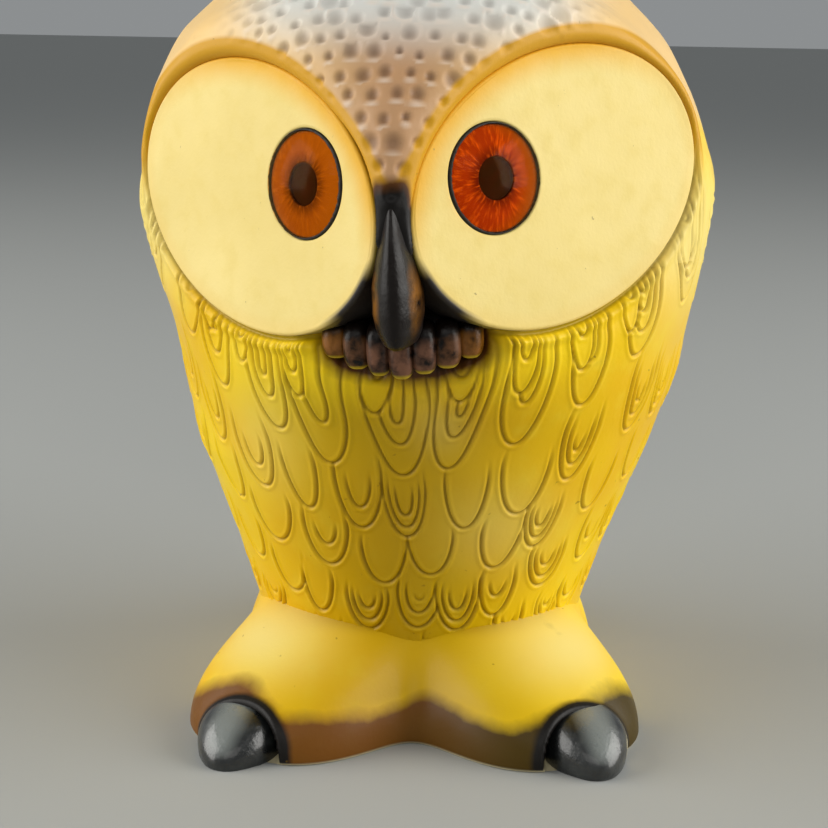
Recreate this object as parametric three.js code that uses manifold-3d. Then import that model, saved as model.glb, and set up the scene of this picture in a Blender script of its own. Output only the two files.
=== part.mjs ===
// Owl figurine: a hollow plaster casting with two flat facial discs, and in each disc a socket that
// holds an amber glass eye on its iris, pupil and cement. Millimetres, +Z up. The owl faces -Y, and
// its origin is at the middle of its bounding box, on the surface that it stands on.
import * as THREE from "three";
import { mergeVertices } from "three/addons/utils/BufferGeometryUtils.js";
import Module from "manifold-3d";

const wasm = await Module();
wasm.setup();

// ---------- Driving dimensions ----------
const HEIGHT = 178;
const GAP = 0.3; // running gap between pieces that touch
const FACE_TURN = THREE.MathUtils.degToRad(-4.2); // the face looks a little to its own right
const FACE_TILT = THREE.MathUtils.degToRad(-3.3); // and is tilted a little

// Facial discs: flat ellipses that face outwards to each side of the beak.
const DISC = {
  across: 31.4, // centre, from the middle of the face
  front: -49.1,
  height: 119.6,
  halfWidth: 37.3,
  halfHeight: 26.8,
  lean: THREE.MathUtils.degToRad(17.2), // the long axis rises outwards
  outward: THREE.MathUtils.degToRad(39.6),
  upward: THREE.MathUtils.degToRad(4.6),
  thickness: 9,
};
const EYE = { inward: 16.2, up: 2.8, socketRadius: 11, socketDepth: 5 };
const GLASS = { radius: 10, edge: 2.6, rise: 4 };
const IRIS = { radius: 9.9, hole: 4.3, thickness: 0.6 };
const PUPIL_RADIUS = 4;
const CEMENT_FLOOR = 1.5;
const ROUND = 32; // sides of a round eye piece

// ---------- Outline of the torso and head ----------
// [half width, height] of one side, from the belly's tip to the crown.
const SIDE = [
  [0, 9], [30, 10.5], [37.8, 15], [42.6, 30], [48.4, 45], [54, 60], [58.8, 75], [62.2, 90],
  [64.4, 105], [65.2, 120], [63, 136], [55.6, 151], [43.5, 163.5], [26, 173.2], [13, 176.9], [0, HEIGHT],
].map(([x, y]) => new THREE.Vector2(x, y));
const BACK_DEPTH = 0.92; // depth of the back half, as a share of the half width
// [height, depth of the front half as a share of the half width]
const FRONT_DEPTH = [[0, 1.03], [24, 1.02], [72, 0.94], [86, 0.94], [118, 1.11], [HEIGHT, 1.11]];

// [height, how much narrower the owl's right side is, and its left side]: the head was modelled by hand
const LOPSIDED = [
  [58, 0, 0], [78, 2.6, 0], [100, 4.2, 1], [114, 3.4, 2], [127, 1.8, 2.8], [139, 0.4, 2.8], [151, 0.8, 3.6],
  [163, 2.8, 5], [174, 1.5, 2.5], [HEIGHT, 0, 0],
];

const smooth = (low, high, x) => THREE.MathUtils.smoothstep(x, low, high);

// A table's column at a height, smoothed between its rows.
function atHeight(table, z, column = 1) {
  const i = table.findIndex(([height]) => height >= z);
  if (i < 1) return table.at(i)[column];
  const [below, above] = [table[i - 1], table[i]];
  return below[column] + (above[column] - below[column]) * smooth(below[0], above[0], z);
}

// ---------- Frames ----------
const turn = new THREE.Matrix4().makeRotationZ(FACE_TURN);
const tilt = new THREE.Matrix4()
  .makeTranslation(0, 0, DISC.height)
  .multiply(new THREE.Matrix4().makeRotationY(FACE_TILT))
  .multiply(new THREE.Matrix4().makeTranslation(0, 0, -DISC.height));
const faceFrame = turn.clone().multiply(tilt);

// A frame on a facial disc: X along its long axis outwards, Y along its short axis up, Z out of the face.
function discFrame(side) {
  const out = new THREE.Vector3(
    side * Math.sin(DISC.outward) * Math.cos(DISC.upward),
    -Math.cos(DISC.outward) * Math.cos(DISC.upward),
    Math.sin(DISC.upward),
  );
  const along = new THREE.Vector3(0, 0, 1).cross(out).normalize();
  const up = out.clone().cross(along);
  return new THREE.Matrix4()
    .makeTranslation(side * DISC.across, DISC.front, DISC.height)
    .multiply(new THREE.Matrix4().makeBasis(along, up, out))
    .multiply(new THREE.Matrix4().makeRotationZ(side * DISC.lean));
}

// A frame at the middle of an eye, with Z out of the face and the disc's surface at Z 0.
function eyeFrame(side) {
  const level = new THREE.Matrix4().makeRotationZ(-side * DISC.lean);
  return discFrame(side)
    .multiply(level)
    .multiply(new THREE.Matrix4().makeTranslation(-side * EYE.inward, EYE.up, 0));
}

// ---------- Solids ----------
// A closed geometry as a solid, with its shared vertices merged and its faces pointing out.
function solid(geometry) {
  const g = geometry.clone();
  g.deleteAttribute("normal");
  g.deleteAttribute("uv");
  const merged = mergeVertices(g, 1e-4);
  const p = merged.attributes.position.array;
  const kept = [];
  let volume = 0;
  for (let i = 0; i < merged.index.count; i += 3) {
    const [a, b, c] = merged.index.array.slice(i, i + 3);
    if (a === b || b === c || a === c) continue;
    kept.push(a, b, c);
    const [va, vb, vc] = [a, b, c].map((n) => new THREE.Vector3().fromArray(p, n * 3));
    volume += va.dot(vb.cross(vc));
  }
  if (volume < 0) kept.reverse();
  return new wasm.Manifold(new wasm.Mesh({ numProp: 3, vertProperties: p, triVerts: new Uint32Array(kept) }));
}

function geometryOf(made) {
  const mesh = made.getMesh();
  return new THREE.BufferGeometry()
    .setAttribute("position", new THREE.BufferAttribute(mesh.vertProperties, 3))
    .setIndex(new THREE.BufferAttribute(mesh.triVerts, 1));
}

// Moves every vertex of a geometry by a function of its place.
function reshape(geometry, move) {
  const position = geometry.attributes.position;
  const p = new THREE.Vector3();
  for (let i = 0; i < position.count; i += 1) {
    move(p.fromBufferAttribute(position, i));
    position.setXYZ(i, p.x, p.y, p.z);
  }
  return geometry;
}

// A round shape about +Z from its [radius, height] profile, which starts and ends on the axis.
function turned(profile, segments) {
  const points = profile.map(([r, z]) => new THREE.Vector2(r, z));
  return new THREE.LatheGeometry(points, segments).rotateX(Math.PI / 2);
}

const at = (geometry, ...frames) =>
  frames.reduceRight((moved, frame) => moved.applyMatrix4(frame), geometry);

// ---------- Torso and head ----------
// How far the head stands out from a disc's plane at the disc's edge: a brow above, a cheek below.
const BROW = 2;
const CHEEK = -1;
const BROW_SOFTENING = 8; // how far from the disc's edge the head is drawn to that height
const CHEEK_SOFTENING = 13;

const browShare = (angle) => smooth(-0.35, 0.9, Math.sin(angle));

const discFrames = [-1, 1].map((side) => {
  const frame = faceFrame.clone().multiply(discFrame(side));
  return { side, frame, inverse: frame.clone().invert() };
});

function drawToDiscs(p) {
  for (const { side, frame, inverse } of discFrames) {
    const q = p.clone().applyMatrix4(inverse);
    if (Math.abs(q.z) > 25) continue;
    const x = (q.x * side) / DISC.halfWidth;
    const y = q.y / DISC.halfHeight;
    const beyond = (Math.hypot(x, y) - 1) * Math.sqrt(DISC.halfWidth * DISC.halfHeight);
    const angle = Math.atan2(y, x);
    const beside = smooth(Math.PI - 0.2, Math.PI + 0.35, angle < 0 ? angle + 2 * Math.PI : angle);
    const hollow = beside * (1 - smooth(4.05, 4.6, angle < 0 ? angle + 2 * Math.PI : angle));
    const softening = CHEEK_SOFTENING + (BROW_SOFTENING - CHEEK_SOFTENING) * browShare(angle);
    const near = Math.exp(-((Math.max(beyond, 0) / softening) ** 2)) * (1 - hollow);
    q.z += (CHEEK + (BROW - CHEEK) * browShare(angle) - q.z) * near;
    p.copy(q.applyMatrix4(frame));
  }
  return p;
}

function torso() {
  const outline = new THREE.SplineCurve(SIDE).getPoints(30);
  outline[0].x = 0;
  outline.at(-1).x = 0;
  const round = new THREE.LatheGeometry(outline, 56).rotateX(Math.PI / 2);
  return reshape(round, (p) => {
    const sideways = Math.abs(p.x) / Math.max(Math.hypot(p.x, p.y), 0.001);
    const narrower = atHeight(LOPSIDED, p.z, p.x < 0 ? 1 : 2) * smooth(0.35, 0.95, sideways);
    p.x -= Math.sign(p.x) * Math.min(narrower, Math.abs(p.x));
    p.y *= p.y < 0 ? atHeight(FRONT_DEPTH, p.z) : BACK_DEPTH;
    p.applyMatrix4(turn);
    drawToDiscs(p);
  });
}

function ellipsePlate(halfWidth, halfHeight, depth) {
  const edge = new THREE.Shape().absellipse(0, 0, halfWidth, halfHeight, 0, 2 * Math.PI);
  return new THREE.ExtrudeGeometry(edge, { depth, bevelEnabled: false, curveSegments: 26 });
}

// ---------- Beak and the tufts under it ----------
const BEAK = { top: 126, tip: 91.8, halfWidth: 5.2, middle: 103, front: -79 };

function beak() {
  const half = (BEAK.top - BEAK.tip) / 2;
  const ball = new THREE.SphereGeometry(1, 20, 14).rotateX(Math.PI / 2);
  return reshape(ball, (p) => {
    const z = (BEAK.top + BEAK.tip) / 2 + half * p.z;
    const narrow = 1 - 0.5 * smooth(BEAK.middle, BEAK.top, z);
    const front = BEAK.front + 5 * smooth(BEAK.middle, BEAK.top, z) + 2 * (1 - smooth(BEAK.tip, BEAK.middle, z));
    p.set(p.x * BEAK.halfWidth * narrow, front + 9 + p.y * 9, z);
  });
}

const TUFTS = { count: 7, spread: 14, halfWidth: 2.5, top: 93, bottom: 84.5, rise: 3.4, front: -61.8, curve: 4.5 };

function tuft(i) {
  const across = -1 + (2 * i) / (TUFTS.count - 1);
  const bottom = TUFTS.bottom + TUFTS.rise * across ** 2;
  const half = (TUFTS.top - bottom) / 2 + 1.5;
  return new THREE.SphereGeometry(1, 10, 8)
    .rotateX(Math.PI / 2)
    .scale(TUFTS.halfWidth, 3.4, half)
    .translate(across * TUFTS.spread - 0.6, TUFTS.front + TUFTS.curve * across ** 2, bottom + half);
}

// ---------- Skirt, feet and claws ----------
const SKIRT = { top: 25.4, waist: 35.3, ground: 42.8 };
const FOOT = {
  direction: THREE.MathUtils.degToRad(32.8),
  outerSpread: THREE.MathUtils.degToRad(30),
  innerSpread: THREE.MathUtils.degToRad(26),
  reach: 26.8,
};
const TAIL = { spread: THREE.MathUtils.degToRad(34), reach: 15 };

// How far a direction lies along either foot: 1 down the middle of a foot, 0 well away from both.
function footShare(angle) {
  return [-1, 1].reduce((share, side) => {
    const away = side * angle - FOOT.direction;
    const spread = away > 0 ? FOOT.outerSpread : FOOT.innerSpread;
    return share + Math.exp(-(Math.abs(away / spread) ** 3));
  }, 0);
}

function skirt() {
  const drum = new THREE.CylinderGeometry(1, 1, 1, 60, 7).rotateX(Math.PI / 2);
  return reshape(drum, (p) => {
    const level = p.z + 0.5;
    const share = Math.hypot(p.x, p.y);
    const angle = Math.atan2(p.x, -p.y);
    const foot = footShare(angle);
    const tail = Math.exp(-(((Math.PI - Math.abs(angle)) / TAIL.spread) ** 2));
    const ground = SKIRT.ground + FOOT.reach * foot + TAIL.reach * tail;
    const fullness = 1 - level ** (1.8 + 0.6 * foot);
    const radius = SKIRT.waist + (ground - SKIRT.waist) * fullness;
    p.set(Math.sin(angle) * radius * share, -Math.cos(angle) * radius * share, level * SKIRT.top);
  });
}

const CLAW = { across: 36.6, front: -54, height: 3.6, halfWidth: 9.4, halfLength: 12, halfHeight: 8.8 };
const HOOD = { halfWidth: 10.8, halfLength: 9.6, halfHeight: 10.4, forward: 6.5 };
const CLAW_TURN = THREE.MathUtils.degToRad(16);
const CLAW_DROOP = THREE.MathUtils.degToRad(10);

// An ellipsoid set along a claw, some way in front of the claw's middle.
function alongClaw(side, shape, forward) {
  return new THREE.SphereGeometry(1, 20, 14)
    .scale(shape.halfWidth, shape.halfLength, shape.halfHeight)
    .translate(0, -forward, 0)
    .rotateX(CLAW_DROOP)
    .rotateZ(side * CLAW_TURN)
    .translate(side * CLAW.across, CLAW.front, CLAW.height);
}

// ---------- The hollow ----------
const HOLE_RADIUS = 22;
const WALL = 7;
const HOLLOW_FRONT = 0.78;

function hollow() {
  const inside = [
    [0, -2], [HOLE_RADIUS, -2], [HOLE_RADIUS, 16], [33, 30], [41, 48], [48, 66], [52.5, 90], [55.5, 112],
    [55, 132], [47.5, 149], [32.5, 161], [14, HEIGHT - WALL - 1.4], [0, HEIGHT - WALL - 1],
  ];
  return reshape(turned(inside, 40), (p) => {
    p.y *= p.y < 0 && p.z > 16 ? HOLLOW_FRONT + (1 - HOLLOW_FRONT) * (1 - smooth(16, 60, p.z)) : 1;
    if (p.y > 0) p.y *= 1 - (1 - BACK_DEPTH) * smooth(16, 60, p.z);
  });
}

// ---------- Body casting ----------
function casting() {
  let body = solid(torso());
  for (const { frame } of discFrames) {
    const cutter = ellipsePlate(DISC.halfWidth, DISC.halfHeight, 30);
    const plate = ellipsePlate(DISC.halfWidth, DISC.halfHeight, DISC.thickness).translate(0, 0, -DISC.thickness);
    body = body.subtract(solid(at(cutter, frame))).add(solid(at(plate, frame)));
  }
  body = body.add(solid(at(beak(), faceFrame)));
  for (let i = 0; i < TUFTS.count; i += 1) body = body.add(solid(at(tuft(i), faceFrame)));
  body = body.add(solid(skirt()));
  for (const side of [-1, 1]) {
    body = body.subtract(solid(alongClaw(side, HOOD, HOOD.forward)));
    body = body.add(solid(alongClaw(side, CLAW, 0)));
  }
  body = body.subtract(solid(hollow()));
  const ground = new THREE.BoxGeometry(300, 300, 40).translate(0, 0, -20);
  body = body.subtract(solid(ground));
  for (const side of [-1, 1]) {
    const { socketRadius: r, socketDepth: depth } = EYE;
    const socket = turned([[0, -depth], [r, -depth], [r, 20], [0, 20]], ROUND);
    body = body.subtract(solid(at(socket, faceFrame, eyeFrame(side))));
  }
  return geometryOf(body);
}

// ---------- Eyes ----------
const cementBottom = -EYE.socketDepth + GAP;
const seat = cementBottom + CEMENT_FLOOR;
const irisBottom = seat + GAP;
const glassBack = irisBottom + IRIS.thickness + GAP;

function cement() {
  const outer = EYE.socketRadius - GAP;
  const inner = GLASS.radius + GAP;
  const bead = 0.4; // how far the cement stands up round the glass
  return turned(
    [[0, cementBottom], [outer, cementBottom], [outer, 0], [outer - 0.2, bead], [inner, bead], [inner, seat], [0, seat]],
    ROUND,
  );
}

function iris() {
  const { radius, hole, thickness } = IRIS;
  return turned(
    [[hole, irisBottom], [radius, irisBottom], [radius, irisBottom + thickness], [hole, irisBottom + thickness], [hole, irisBottom]],
    ROUND,
  );
}

function pupil() {
  const top = irisBottom + IRIS.thickness;
  return turned([[0, irisBottom], [PUPIL_RADIUS, irisBottom], [PUPIL_RADIUS, top], [0, top]], ROUND);
}

function glass() {
  const { radius, edge, rise } = GLASS;
  const ball = (radius ** 2 + rise ** 2) / (2 * rise);
  const steps = 7;
  const dome = Array.from({ length: steps }, (_, i) => {
    const r = radius * (1 - i / steps);
    return [r, glassBack + edge + rise - ball + Math.sqrt(ball ** 2 - r ** 2)];
  });
  return turned([[0, glassBack], [radius, glassBack], ...dome, [0, glassBack + edge + rise]], ROUND);
}

// ---------- Materials ----------
const paint = (color, roughness) => new THREE.MeshStandardMaterial({ color, roughness, metalness: 0 });
const materials = {
  plaster: paint(0xc9a227, 0.45),
  cement: paint(0x17120e, 0.6),
  iris: paint(0xb4501a, 0.35),
  pupil: paint(0x2a120a, 0.2),
  glass: new THREE.MeshStandardMaterial({ color: 0xc87828, roughness: 0.05, metalness: 0, transparent: true, opacity: 0.35 }),
};

// ---------- Assembly ----------
// The torso stands on the owl's own Z axis here. The last step moves it so that its box is centred.
const owl = new THREE.Group();
const figure = new THREE.Group();
owl.add(figure);

function addPiece(name, geometry, material, parent) {
  const mesh = new THREE.Mesh(geometry, material);
  mesh.name = name;
  parent.add(mesh);
}

addPiece("body_casting", casting(), materials.plaster, figure);

for (const [side, word] of [[-1, "right"], [1, "left"]]) {
  const eye = new THREE.Group();
  faceFrame.clone().multiply(eyeFrame(side)).decompose(eye.position, eye.quaternion, eye.scale);
  figure.add(eye);
  addPiece(`eye_cement_${word}`, cement(), materials.cement, eye);
  addPiece(`iris_ring_${word}`, iris(), materials.iris, eye);
  addPiece(`pupil_${word}`, pupil(), materials.pupil, eye);
  addPiece(`eye_glass_${word}`, glass(), materials.glass, eye);
}

const middle = new THREE.Box3().setFromObject(figure).getCenter(new THREE.Vector3());
figure.position.set(-middle.x, -middle.y, 0);

export default owl;
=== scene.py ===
# %% [markdown]
# # A plaster owl with glass eyes
# The owl is one hollow casting of plaster, painted by hand and with an airbrush, with a domed glass eye
# cemented into each of its two flat facial discs. This lesson dresses its plain solid model: every piece
# is a fine mesh in the place of a solid one, and every finish is built from shader nodes.

import math

import bmesh
import bpy
import numpy as np
from mathutils import Matrix, Vector


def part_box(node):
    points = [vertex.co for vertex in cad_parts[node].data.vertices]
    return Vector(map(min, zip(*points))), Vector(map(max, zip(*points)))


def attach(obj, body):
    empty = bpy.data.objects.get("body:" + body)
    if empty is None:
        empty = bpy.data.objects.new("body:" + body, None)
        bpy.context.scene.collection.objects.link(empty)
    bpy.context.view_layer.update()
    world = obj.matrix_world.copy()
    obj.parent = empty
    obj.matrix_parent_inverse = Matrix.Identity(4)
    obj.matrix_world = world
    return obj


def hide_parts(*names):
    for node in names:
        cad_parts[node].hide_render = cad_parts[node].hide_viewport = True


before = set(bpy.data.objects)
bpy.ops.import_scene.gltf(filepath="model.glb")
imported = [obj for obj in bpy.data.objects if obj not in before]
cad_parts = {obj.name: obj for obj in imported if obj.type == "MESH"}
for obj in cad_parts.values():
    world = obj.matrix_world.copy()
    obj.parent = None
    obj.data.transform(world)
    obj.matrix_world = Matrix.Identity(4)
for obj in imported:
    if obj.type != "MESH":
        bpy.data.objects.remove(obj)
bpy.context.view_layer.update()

# %% [markdown]
# ## Where things are
# Lengths are in millimetres here and become metres when a mesh is made. The owl's head is turned a
# little on its feet, and its face is tilted. So the body is built straight in a frame of its own, and one
# matrix turns each finished piece into place.

# %% Frames of the torso, face and eyes
MM = 0.001
DISC_HEIGHT = 119.6
AXIS_FROM_LOW = (66.78, 78.51)  # from the corner of the casting's box to the torso's own axis
casting_low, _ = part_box("body_casting")
AXIS = Vector((casting_low[0] / MM + AXIS_FROM_LOW[0], casting_low[1] / MM + AXIS_FROM_LOW[1], 0))
TORSO_TURN = math.radians(-4.2)
FACE_TILT = math.radians(-3.3)

base_frame = Matrix.Translation(AXIS)
torso_frame = base_frame @ Matrix.Rotation(TORSO_TURN, 4, "Z")
face_frame = (
    torso_frame
    @ Matrix.Translation((0, 0, DISC_HEIGHT))
    @ Matrix.Rotation(FACE_TILT, 4, "Y")
    @ Matrix.Translation((0, 0, -DISC_HEIGHT))
)

DISC = {"across": 31.4, "front": -49.1, "half_width": 37.35, "half_height": 26.8}
DISC["lean"] = math.radians(17.2)
DISC_OUTWARD = math.radians(39.6)
DISC_UPWARD = math.radians(4.6)
EYE_INWARD, EYE_UP = 16.2, 2.8


def disc_frame(side):
    """X along the disc's long axis, Y along its short axis, Z out of the face. side is -1 or 1."""
    out = Vector((
        side * math.sin(DISC_OUTWARD) * math.cos(DISC_UPWARD),
        -math.cos(DISC_OUTWARD) * math.cos(DISC_UPWARD),
        math.sin(DISC_UPWARD),
    ))
    along = Vector((0, 0, 1)).cross(out).normalized()
    axes = Matrix((along, out.cross(along), out)).transposed().to_4x4()
    place = Matrix.Translation((side * DISC["across"], DISC["front"], DISC_HEIGHT))
    return place @ axes @ Matrix.Rotation(side * DISC["lean"], 4, "Z")


def eye_frame(side):
    """The middle of an eye, with Z out of the face and the disc's surface at Z 0."""
    level = Matrix.Rotation(-side * DISC["lean"], 4, "Z")
    return disc_frame(side) @ level @ Matrix.Translation((-side * EYE_INWARD, EYE_UP, 0))


SIDES = ((-1, "right"), (1, "left"))
for side, word in SIDES:
    centre = face_frame @ eye_frame(side) @ Vector((0, 0, 0))
    low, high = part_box(f"eye_glass_{word}")
    print(word, "eye at", [round(c, 1) for c in centre], "glass", [round(c / MM, 1) for c in low])

# %% [markdown]
# ## Camera, floor and light
# The camera stands a little above the owl and looks slightly down, about 39 cm away. A long lens keeps
# the head from swelling. Two large soft lamps stand left and right of it, and a weaker one hangs in front,
# as on a product table.

# %% Camera
CAMERA_AZIMUTH = math.radians(1.37)
CAMERA_ELEVATION = math.radians(13)
CAMERA_ROLL = math.radians(1.03)
CAMERA_DISTANCE = 393.2
CAMERA_TARGET = AXIS + Vector((-2.17, 0, 62.2))
SENSOR_MM = 36
FOCAL_SHARE = 1650 / 828  # focal length as a share of the picture's width

back = Vector((
    math.sin(CAMERA_AZIMUTH) * math.cos(CAMERA_ELEVATION),
    -math.cos(CAMERA_AZIMUTH) * math.cos(CAMERA_ELEVATION),
    math.sin(CAMERA_ELEVATION),
))
level_right = (-back).cross(Vector((0, 0, 1))).normalized()
level_up = level_right.cross(-back)
right = math.cos(CAMERA_ROLL) * level_right + math.sin(CAMERA_ROLL) * level_up
up = -math.sin(CAMERA_ROLL) * level_right + math.cos(CAMERA_ROLL) * level_up

camera_data = bpy.data.cameras.new("camera")
camera_data.sensor_width = SENSOR_MM
camera_data.lens = SENSOR_MM * FOCAL_SHARE
camera_data.clip_start = 0.01
camera = bpy.data.objects.new("camera", camera_data)
camera.matrix_world = (
    Matrix.Translation((CAMERA_TARGET + back * CAMERA_DISTANCE) * MM)
    @ Matrix((right, up, back)).transposed().to_4x4()
)
bpy.context.scene.collection.objects.link(camera)
bpy.context.scene.camera = camera
print("lens", round(camera_data.lens, 1), "mm")

# %% Helpers for nodes
def linear(hex_colour):
    """An sRGB hex colour as linear light, which is what shader sockets take."""
    channels = [int(hex_colour[i : i + 2], 16) / 255 for i in (1, 3, 5)]
    return [c / 12.92 if c <= 0.04045 else ((c + 0.055) / 1.055) ** 2.4 for c in channels] + [1.0]


def add_node(material, kind, settings=None, links=None):
    """Adds a node. settings are its properties or socket values, and links are socket: (node, output)."""
    tree = material.node_tree
    node = tree.nodes.new(kind)
    for name, value in (settings or {}).items():
        if isinstance(name, str) and hasattr(node, name):
            setattr(node, name, value)
        else:
            node.inputs[name].default_value = value
    for socket, (source, output) in (links or {}).items():
        tree.links.new(source.outputs[output], node.inputs[socket])
    return node


def new_material(name):
    """An empty material with its output node."""
    material = bpy.data.materials.new(name)
    material.use_nodes = True
    material.node_tree.nodes.clear()
    output = material.node_tree.nodes.new("ShaderNodeOutputMaterial")
    return material, output


# %% Floor and lamps
LAMP_WHITE = "#FFFDF8"
LAMP_AIM = (0, 0, 90)
# name, place in mm, width and height in m, power in watts
LAMPS = (
    ("lamp_left", (-1150, -160, 470), (1.2, 1.2), 17.5),
    ("lamp_right", (1170, -140, 430), (1.2, 1.2), 20),
    ("lamp_front", (0, -1700, 1100), (1.6, 0.8), 5),
)


def add_lamp(name, place, size, power):
    """A soft lamp at its place, turned towards the owl."""
    data = bpy.data.lights.new(name, "AREA")
    data.shape = "RECTANGLE"
    data.size, data.size_y = size
    data.energy = power
    data.color = linear(LAMP_WHITE)[:3]
    lamp = bpy.data.objects.new(name, data)
    lamp.location = Vector(place) * MM
    lamp.rotation_euler = (Vector(place) - Vector(LAMP_AIM)).to_track_quat("Z", "Y").to_euler()
    bpy.context.scene.collection.objects.link(lamp)


for lamp_row in LAMPS:
    add_lamp(*lamp_row)

world = bpy.data.worlds.new("studio")
world.use_nodes = True
room_light = world.node_tree.nodes["Background"]
room_light.inputs["Color"].default_value = linear("#D4D8DA")
room_light.inputs["Strength"].default_value = 0.4
bpy.context.scene.world = world
bpy.context.scene.view_settings.view_transform = "Standard"  # keeps the paints as saturated as they are

FLOOR_HALF_WIDTH = 30.0  # in metres
bm = bmesh.new()
bmesh.ops.create_grid(bm, x_segments=1, y_segments=1, size=FLOOR_HALF_WIDTH)
floor_mesh = bpy.data.meshes.new("floor")
bm.to_mesh(floor_mesh)
bm.free()
floor = bpy.data.objects.new("floor", floor_mesh)
bpy.context.scene.collection.objects.link(floor)

floor_paint, output = new_material("matt_studio_board")
board = {"Base Color": linear("#A6A8A6"), "Roughness": 0.75}
shader = add_node(floor_paint, "ShaderNodeBsdfPrincipled", board)
floor_paint.node_tree.links.new(shader.outputs[0], output.inputs["Surface"])
floor_mesh.materials.append(floor_paint)
print("lamps", len(LAMPS), "floor", 2 * FLOOR_HALF_WIDTH, "m wide")

# %% [markdown]
# ## The shape of the torso
# A sculptor would turn the body as an egg and then work on its skin. Here a fine grid is wrapped round
# the same egg: its columns are angles round the body and its rows are distances up the side. Then each
# point moves along the skin's normal, up for a brow and down for a groove.

# %% The egg
# [half width, height] up one side, from inside the skirt to the crown
SIDE_OUTLINE = np.array([
    (30, 8), (37.5, 14), (42, 30), (47.5, 45), (53.4, 60), (58.4, 75), (61.8, 90), (64.2, 105), (65, 120),
    (63.4, 135), (56.8, 150), (47.2, 160.5), (36.5, 168.2), (24, 174.2), (12, 177.2), (0, 178),
])
BACK_DEPTH = 0.92  # depth of the back half, as a share of the half width


def smooth(low, high, x):
    """0 below low, 1 above high, and an S curve between them."""
    t = np.clip((x - low) / (high - low), 0, 1)
    return t * t * (3 - 2 * t)


def fine_outline(points, step=0.5, softness=5.0):
    """The outline as [half width, height, length along it], with its corners rounded off."""
    length = np.concatenate([[0], np.cumsum(np.hypot(*np.diff(points, axis=0).T))])
    along = np.arange(0, length[-1] + step, step)
    # past the crown the outline runs down the other side, so that rounding keeps the crown level
    mirrored = points[::-1] * (-1, 1)
    both = np.vstack([points, mirrored[1:]])
    both_length = np.concatenate([[0], np.cumsum(np.hypot(*np.diff(both, axis=0).T))])
    long = np.arange(0, both_length[-1], step)
    reach = np.arange(-3 * softness, 3 * softness + step, step)
    weights = np.exp(-((reach / softness) ** 2))
    weights /= weights.sum()
    soft = [np.convolve(np.interp(long, both_length, both[:, k]), weights, "same") for k in (0, 1)]
    x, z = (np.interp(along, long, s) for s in soft)
    start = along < 3 * softness
    x[start] = np.interp(along[start], both_length, both[:, 0])
    z[start] = np.interp(along[start], both_length, both[:, 1])
    x[-1] = 0
    length = np.concatenate([[0], np.cumsum(np.hypot(np.diff(x), np.diff(z)))])
    return x, z, length


outline_x, outline_z, outline_length = fine_outline(SIDE_OUTLINE)
LENGTH_UP = outline_length[-1]


def front_depth(z):
    """Depth of the front half, as a share of the half width: the face stands forward of the belly."""
    return 0.94 + 0.17 * smooth(84, 120, z) + 0.09 * (1 - smooth(18, 72, z))


# [height, how much narrower the owl's right side is, and its left side]: the head was modelled by hand
LOPSIDED = np.array([
    (58, 0, 0), (78, 2.6, 0), (100, 4.2, 1.0), (114, 3.4, 2.0), (127, 1.8, 2.8),
    (139, 0.4, 2.8), (151, 0.8, 3.6), (163, 2.8, 5.0), (174, 1.5, 2.5), (178, 0, 0),
])


def egg(angle, along):
    """The plain egg: angle round it in radians from the front, and mm up its side."""
    x = np.interp(along, outline_length, outline_x)
    z = np.interp(along, outline_length, outline_z)
    narrower = [np.interp(z, LOPSIDED[:, 0], LOPSIDED[:, column]) for column in (1, 2)]
    sideways = np.sin(angle)
    x = x - np.where(sideways < 0, narrower[0], narrower[1]) * smooth(0.35, 0.95, np.abs(sideways))
    facing = np.cos(angle)
    depth = BACK_DEPTH + (front_depth(z) - BACK_DEPTH) * smooth(0, 0.35, facing)
    return np.stack([x * sideways, -x * facing * depth, z], -1)


print("up the side", round(float(LENGTH_UP), 1), "mm, crown at", round(float(outline_z[-1]), 1))

# %% [markdown]
# ## Brows, cheeks and the recess under the beak
# The facial discs are flat ovals sunk into the head. Above, the head overhangs each disc as a rounded
# brow. Below, the disc stands a little proud, with a fine groove under its rim. Between them a narrow
# prow carries the beak. Each point near a disc is moved along that disc's own normal, by how far outside
# the oval it is and by which way round the oval it lies.

# %% Skin round the discs
PLATE_COVER = -6.5  # how far the skin drops under a disc plate
BROW_START = -0.45  # the brow's roll starts this far below the disc's face
CHEEK_LEVEL, CHEEK_WIDTH = -0.9, 13.0  # how low the skin meets the disc below, and how far that reaches
FAR_AWAY = 99.0
tilt_frame = torso_frame.inverted() @ face_frame


def apply(matrix, points):
    """A 4x4 matrix applied to an array of points."""
    m = np.array(matrix)
    return points @ m[:3, :3].T + m[:3, 3]


def oval_place(x, y):
    """How far outside the disc's oval a point is, in mm, and its angle round the oval in degrees."""
    a, b = DISC["half_width"], DISC["half_height"]
    e = np.maximum(np.hypot(x / a, y / b), 1e-6)
    slope = np.hypot(x / a**2, y / b**2) / e
    outside = (e - 1) / np.maximum(slope, 1e-6)
    angle = np.degrees(np.arctan2(y / b, x / a))
    return outside, (angle + 110) % 360 - 110


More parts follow.
